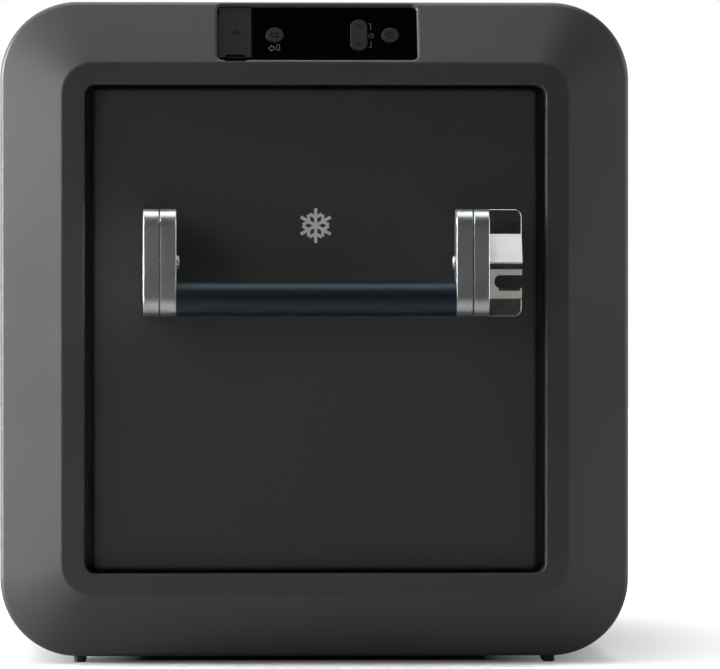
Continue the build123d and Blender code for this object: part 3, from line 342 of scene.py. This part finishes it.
def snowflake_outline(reach, bar, branch, branch_at):
    """One closed outline of a six-armed snowflake with a pair of branches on each arm."""
    half = bar / 2
    lean = math.radians(60)
    along = Vector((math.cos(lean), -math.sin(lean)))
    across = Vector((math.sin(lean), math.cos(lean)))
    root = Vector((branch_at, -half))
    side = [Vector((half / math.tan(math.radians(30)), -half)), root, root + along * branch,
            root + along * branch + across * bar, root + Vector((bar / math.sin(lean), 0)),
            Vector((reach, -half))]
    side += [Vector((p.x, -p.y)) for p in reversed(side[1:])]
    return [tuple(Matrix.Rotation(math.radians(60 * arm + 90), 2) @ p) for arm in range(6) for p in side]


emblem = snowflake_outline(EMBLEM_REACH, EMBLEM_BAR, BRANCH_LENGTH, BRANCH_AT)
printed("emblem", [emblem], emblem_place, "emblem_silver", "cabinet", EMBLEM_THICKNESS)

# Printed marks on the control panel ------------------------------------------------------------
# Sizes in mm. Each mark is drawn round the middle of the button, flap or fascia that it is printed on.
SLOPE_WIDTH, SLOPE_DEPTH = 45.0, 25.0
slope_normal = Vector((0, -SLOPE_WIDTH, SLOPE_DEPTH)).normalized()


def on_slope(node):
    """A plane in the slope through a node's outermost surface, at the node's middle."""
    top = max(v.co.dot(slope_normal) for v in nodes[node].data.vertices)
    low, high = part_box(node)
    middle = (low + high) / 2
    middle += slope_normal * (top - middle.dot(slope_normal))
    return plane_matrix(middle, (1, 0, 0), slope_normal)


def rectangle(left, low, right, high):
    """The corners of an upright rectangle."""
    return [(left, low), (right, low), (right, high), (left, high)]


select_mark = line_strip(rectangle(-2.2, -1.6, 2.2, 1.6), 0.6, closed=True)
printed("select_mark", select_mark, on_slope("select_button"), "mark_dark",
        "select_button")

POWER_LINE = 0.55
power_mark = line_strip(arc_points((0, 0), 2.2, 120, 420), POWER_LINE)
power_mark += line_strip([(0, 0.6), (0, 2.9)], POWER_LINE)
printed("power_mark", power_mark, on_slope("power_button"), "mark_dark", "power_button")

rocker_mark = []
for side in (1, -1):
    rocker_mark += line_strip([(-1.9, side * 6.6), (0, side * 8.6), (1.9, side * 6.6)], 0.5)
printed("rocker_mark", rocker_mark, on_slope("rocker_button"), "mark_dark", "rocker")

# An arrow and a bar under the select button, and a ring between two hooks beside the rocker
ARROW_LINE, HOOK_LINE, RING_LINE, DOT_LINE = 0.40, 0.32, 0.34, 0.30
BRACKET_GAP, BRACKET_UP, RING_RIGHT = 8.6, -1.2, 0.2
fascia_place = on_slope("control_fascia")
fascia_x = fascia_place.translation.x
left_x = (on_slope("select_button").translation.x - fascia_x) / MM
bracket_x = (on_slope("rocker_button").translation.x - fascia_x) / MM + BRACKET_GAP
arrow = [(left_x - 4.6, -12.0), (left_x - 2.2, -9.4), (left_x - 2.2, -10.9), (left_x - 0.2, -10.9),
         (left_x - 0.2, -13.1), (left_x - 2.2, -13.1), (left_x - 2.2, -14.6)]
marks = line_strip(arrow, ARROW_LINE, closed=True)
marks += line_strip(rectangle(left_x + 1.4, -13.6, left_x + 3.4, -9.2), ARROW_LINE, closed=True)
for side in (-1, 1):
    far, near = side * 10.2 + BRACKET_UP, side * 4.8 + BRACKET_UP
    marks += line_strip([(bracket_x - 1.4, far), (bracket_x, far), (bracket_x, near)], HOOK_LINE)
ring_middle = (bracket_x + RING_RIGHT, BRACKET_UP)
marks += line_strip(arc_points(ring_middle, 1.9, 0, 360), RING_LINE)
marks += line_strip(arc_points(ring_middle, 0.5, 0, 360, 8), DOT_LINE)
printed("fascia_marks", marks, fascia_place, "print_grey", "cabinet")

# A line with two branches on the socket flap
FLAP_LINE = 0.5
flap_mark = line_strip([(-4.2, 0), (4.0, 0)], FLAP_LINE)
flap_mark += line_strip([(-1.8, 0), (0.2, 1.9), (2.2, 1.9)], FLAP_LINE)
flap_mark += line_strip([(-0.6, 0), (1.2, -1.7), (2.8, -1.7)], FLAP_LINE)
printed("flap_mark", flap_mark, on_slope("usb_cap"), "mark_dark", "socket_flap")

# Wire baskets ----------------------------------------------------------------------------------
WIRE, RIM_WIRE, SLEEVE = 1.4 * MM, 2.3 * MM, 3.4 * MM  # radii
WIRE_PITCH, BAND_PITCH, CORNER = 24 * MM, 42 * MM, 12 * MM
GRIP_HALF, GRIP_NOSE = 32 * MM, 2 * MM


def rounded(points, radius, closed=False, steps=6):
    """A path of 3-D points with its corners turned into arcs."""
    path = []
    count = len(points)
    for i, corner in enumerate(points):
        if not closed and i in (0, count - 1):
            path.append(corner)
            continue
        start = corner + (points[i - 1] - corner).normalized() * radius
        stop = corner + (points[(i + 1) % count] - corner).normalized() * radius
        for k in range(steps + 1):
            t = k / steps
            bend = (1 - t) ** 2 + t ** 2 + math.sqrt(2) * t * (1 - t)
            path.append((start * (1 - t) ** 2 + stop * t ** 2 + corner * math.sqrt(2) * t * (1 - t)) / bend)
    return path


def add_tube(bm, path, normal, radius, closed=False, sides=8):
    """A round wire along a path that lies in one plane; the ends of an open one are closed."""
    count = len(path)
    rings = []
    for i, point in enumerate(path):
        before = path[i - 1] if closed or i > 0 else point
        after = path[(i + 1) % count] if closed or i < count - 1 else point
        out = (after - before).normalized().cross(normal)
        rings.append([bm.verts.new(point + radius * (math.cos(2 * math.pi * k / sides) * out
                                                     + math.sin(2 * math.pi * k / sides) * normal))
                      for k in range(sides)])
    for i in range(count if closed else count - 1):
        ring, following = rings[i], rings[(i + 1) % count]
        for k in range(sides):
            bm.faces.new((ring[k], ring[(k + 1) % sides], following[(k + 1) % sides], following[k]))
    if not closed:
        bm.faces.new(rings[0])
        bm.faces.new(rings[-1])


def spaced(start, stop, pitch):
    """Evenly spaced values between two limits, about one pitch apart, without the limits."""
    count = max(1, round((stop - start) / pitch))
    return [start + (stop - start) * (i + 0.5) / count for i in range(count)]


def wire_basket(name, node, body):
    """A welded wire basket: bands round it, wires down its sides and under it, a thick rim and two grips."""
    low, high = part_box(node)
    low, high = low + Vector((1, 1, 0)) * SLEEVE, high - Vector((1, 1, 1)) * SLEEVE
    up, floor_z = Vector((0, 0, 1)), low.z + WIRE
    bm = bmesh.new()

    def band(z, radius, inward=0.0):
        a, b = low.xy + Vector((inward, inward)), high.xy - Vector((inward, inward))
        corners = [Vector((*c, z)) for c in ((a.x, a.y), (b.x, a.y), (b.x, b.y), (a.x, b.y))]
        add_tube(bm, rounded(corners, CORNER, closed=True), up, radius, closed=True)

    for z in spaced(floor_z + CORNER, high.z - CORNER, BAND_PITCH):
        band(z, WIRE, 2 * WIRE)
    band(high.z, RIM_WIRE)
    for x in spaced(low.x + CORNER, high.x - CORNER, WIRE_PITCH):
        route = [(x, low.y, high.z), (x, low.y, floor_z), (x, high.y, floor_z), (x, high.y, high.z)]
        add_tube(bm, rounded([Vector(p) for p in route], CORNER), Vector((1, 0, 0)), WIRE)
    for y in spaced(low.y + CORNER, high.y - CORNER, WIRE_PITCH):
        route = [(low.x, y, high.z), (low.x, y, floor_z + 2 * WIRE), (high.x, y, floor_z + 2 * WIRE),
                 (high.x, y, high.z)]
        add_tube(bm, rounded([Vector(p) for p in route], CORNER), Vector((0, 1, 0)), WIRE)
    # Grips on the rim, at the two ends
    middle = (low.y + high.y) / 2
    for x in (low.x, high.x):
        offsets = (-GRIP_HALF, GRIP_NOSE - GRIP_HALF, GRIP_HALF - GRIP_NOSE, GRIP_HALF)
        stations = [Vector((x, middle + offset, high.z)) for offset in offsets]
        add_tube(bm, stations, up, SLEEVE, sides=16)
    bmesh.ops.recalc_face_normals(bm, faces=bm.faces)
    for face in bm.faces:
        face.smooth = True
    mesh = bpy.data.meshes.new(name)
    bm.to_mesh(mesh)
    bm.free()
    mesh.materials.append(MATERIALS["basket_coating"])
    basket = bpy.data.objects.new(name, mesh)
    bpy.context.scene.collection.objects.link(basket)
    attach(basket, body)
    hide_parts(node)


wire_basket("wire_basket_large", "basket_large", "large_basket")
wire_basket("wire_basket_small", "basket_small", "small_basket")

# Studio, in metres -----------------------------------------------------------------------------
FLOOR_SIZE = 24.0
BOUNCE_DROP = 0.002
# The paper's glow is low near the object and rises away from it: painted shade round the object
FLOOR_GLOW_NEAR, FLOOR_GLOW_FAR = 0.30, 1.0
GLOW_START, GLOW_STOP, GLOW_DEPTH_SCALE = 0.235, 0.54, 0.7
PAINTED_SHADOW_CORE, PAINTED_SHADOW_FADE = (0.124, 0.262), 0.10  # half sizes of the painted shadow's dark core under the object, and of its fade
WORLD_FRONT, WORLD_BACK, WORLD_SWEEP, WORLD_SEEN = 0.012, 0.12, 0.9, 1.0
ROOM_START, ROOM_STOP, SWEEP_START, SWEEP_STOP = 0.05, 0.75, 0.62, 0.86


def floor_sheet(name, height):
    """A large flat sheet at a height."""
    half = FLOOR_SIZE / 2
    mesh = bpy.data.meshes.new(name)
    corners = [(-half, -half, height), (half, -half, height), (half, half, height), (-half, half, height)]
    mesh.from_pydata(corners, [], [(0, 1, 2, 3)])
    sheet = bpy.data.objects.new(name, mesh)
    bpy.context.scene.collection.objects.link(sheet)
    return sheet


# The paper that shows glows more with distance from the object: far off it stands for the evenly lit sweep,
# and its lower glow near the object is painted shade. Under the object a painted shadow turns it dark.
# It lights nothing itself: a plain white sheet just under it, which doesn't show, gives the bounce.
paper = Shader("paper")
distance = paper.node("ShaderNodeVectorMath", operation="LENGTH")
paper.feed(distance.inputs[0], paper.scaled((1, GLOW_DEPTH_SCALE, 1)))
glow = paper.spread(distance.outputs["Value"], FLOOR_GLOW_NEAR, FLOOR_GLOW_FAR, GLOW_START, GLOW_STOP)
# Distance outside the painted shadow's dark core rectangle
aside = paper.node("ShaderNodeVectorMath", {0: paper.place}, operation="ABSOLUTE").outputs[0]
aside = paper.node("ShaderNodeVectorMath", {0: aside, 1: (*PAINTED_SHADOW_CORE, 0)}, operation="SUBTRACT").outputs[0]
aside = paper.node("ShaderNodeVectorMath", {0: aside, 1: (0, 0, 0)}, operation="MAXIMUM").outputs[0]
outside = paper.node("ShaderNodeVectorMath", {0: aside}, operation="LENGTH").outputs["Value"]
painted_shadow_fade = paper.spread(outside, 0.0, 1.0, 0.0, PAINTED_SHADOW_FADE)
fibre = paper.noise(700.0)
lit = paper.blend(paper.spread(fibre, 0, 1), (0.84, 0.84, 0.84), (0.87, 0.87, 0.87))
# Painted shadow: the paper's colour and glow fall to dark in the core under the object
paper.set(Base_Color=paper.blend(painted_shadow_fade, (0.02, 0.02, 0.02), lit), Roughness=0.7, Specular_IOR_Level=0.1,
          Emission_Color=paper.blend(painted_shadow_fade, (0.0, 0.0, 0.0), (1.0, 1.0, 1.0)), Emission_Strength=glow)
floor = floor_sheet("floor", 0.0)
floor.data.materials.append(paper.material)
floor.visible_diffuse = False
floor.visible_glossy = False
floor.visible_shadow = False

card = Shader("bounce_card")
card_tone = card.blend(card.spread(card.noise(700.0), 0, 1), (0.52, 0.52, 0.51), (0.56, 0.56, 0.55))
card.set(Base_Color=card_tone, Roughness=0.9, Specular_IOR_Level=0.0)
bounce = floor_sheet("bounce_card", -BOUNCE_DROP)
bounce.data.materials.append(card.material)
bounce.visible_camera = False

world = bpy.data.worlds.new("studio")
bpy.context.scene.world = world
world.use_nodes = True
tree = world.node_tree
background = tree.nodes["Background"]
background.inputs["Color"].default_value = (1, 1, 1, 1)
direction = tree.nodes.new("ShaderNodeTexCoord").outputs["Generated"]
split = tree.nodes.new("ShaderNodeSeparateXYZ")
tree.links.new(direction, split.inputs[0])


def world_ramp(source, limits):
    """A smooth step on the direction's Y: where it starts and stops, and its two levels."""
    ramp = tree.nodes.new("ShaderNodeMapRange")
    ramp.interpolation_type = "SMOOTHSTEP"
    for key, value in zip(("From Min", "From Max", "To Min", "To Max"), limits):
        ramp.inputs[key].default_value = value
    tree.links.new(source, ramp.inputs["Value"])
    return ramp.outputs["Result"]


room = world_ramp(split.outputs["Y"], (ROOM_START, ROOM_STOP, WORLD_FRONT, WORLD_BACK))
sweep = world_ramp(split.outputs["Y"], (SWEEP_START, SWEEP_STOP, 0.0, WORLD_SWEEP))  # the lit paper behind
level = tree.nodes.new("ShaderNodeMath")
tree.links.new(room, level.inputs[0])
tree.links.new(sweep, level.inputs[1])
seen = tree.nodes.new("ShaderNodeLightPath").outputs["Is Camera Ray"]
choice = tree.nodes.new("ShaderNodeMix")
tree.links.new(seen, choice.inputs[0])
tree.links.new(level.outputs[0], choice.inputs[2])
choice.inputs[3].default_value = WORLD_SEEN
tree.links.new(choice.outputs[0], background.inputs["Strength"])

FRONT_END = (0, -0.30, 0.24)
LIGHTS = [  # name, place, aim, size, watts, beam in degrees
    ("left_rim", (-2.40, -0.23, 0.75), FRONT_END, (0.5, 1.6), 13.8, 55),
    ("right_rim", (2.40, -0.23, 0.75), FRONT_END, (0.5, 1.6), 2.2, 55),
    ("left_near", (-0.87, -0.55, 0.60), FRONT_END, (0.4, 1.0), 1.1, 180),
    ("left_fill", (-1.90, -2.60, 1.30), FRONT_END, (1.2, 1.2), 11.6, 180),
    ("top_box", (-0.20, -0.20, 1.70), (-0.20, -0.20, 0.24), (1.6, 1.3), 13.0, 180),
    ("top_back", (0.0, 0.60, 2.40), (0, 0.20, 0.24), (1.6, 1.2), 3.0, 90),
]


def soft_light(name, place, aim, size, power, beam):
    """A rectangular soft box that looks at a point."""
    data = bpy.data.lights.new(name, "AREA")
    data.shape = "RECTANGLE"
    data.size, data.size_y = size
    data.energy = power
    data.spread = math.radians(beam)
    lamp = bpy.data.objects.new(name, data)
    lamp.location = place
    lamp.rotation_euler = (Vector(aim) - Vector(place)).to_track_quat("-Z", "Y").to_euler()
    bpy.context.scene.collection.objects.link(lamp)


for light in LIGHTS:
    soft_light(*light)

# Camera: a long lens, a little to the left of the middle. The front frame's widest outline sets the scale.
SENSOR_WIDTH, CLIP_END = 36.0, 60.0
CAMERA_X, CAMERA_HEIGHT, CAMERA_DISTANCE = -0.08, 0.245, 4.0
TARGET_X, TARGET_HEIGHT = 0.0328, 0.2373
VIEW_WIDTH = 0.52128  # of the picture, at the outline
OUTLINE_Y = -0.293
camera_data = bpy.data.cameras.new("camera")
camera_data.sensor_width = SENSOR_WIDTH
camera_data.lens = SENSOR_WIDTH * CAMERA_DISTANCE / VIEW_WIDTH
camera_data.clip_end = CLIP_END
camera = bpy.data.objects.new("camera", camera_data)
camera.location = (CAMERA_X, OUTLINE_Y - CAMERA_DISTANCE, CAMERA_HEIGHT)
target = Vector((TARGET_X, OUTLINE_Y, TARGET_HEIGHT))
camera.rotation_euler = (target - camera.location).to_track_quat("-Z", "Y").to_euler()
bpy.context.scene.collection.objects.link(camera)
bpy.context.scene.camera = camera
bpy.context.scene.view_settings.view_transform = "Standard"
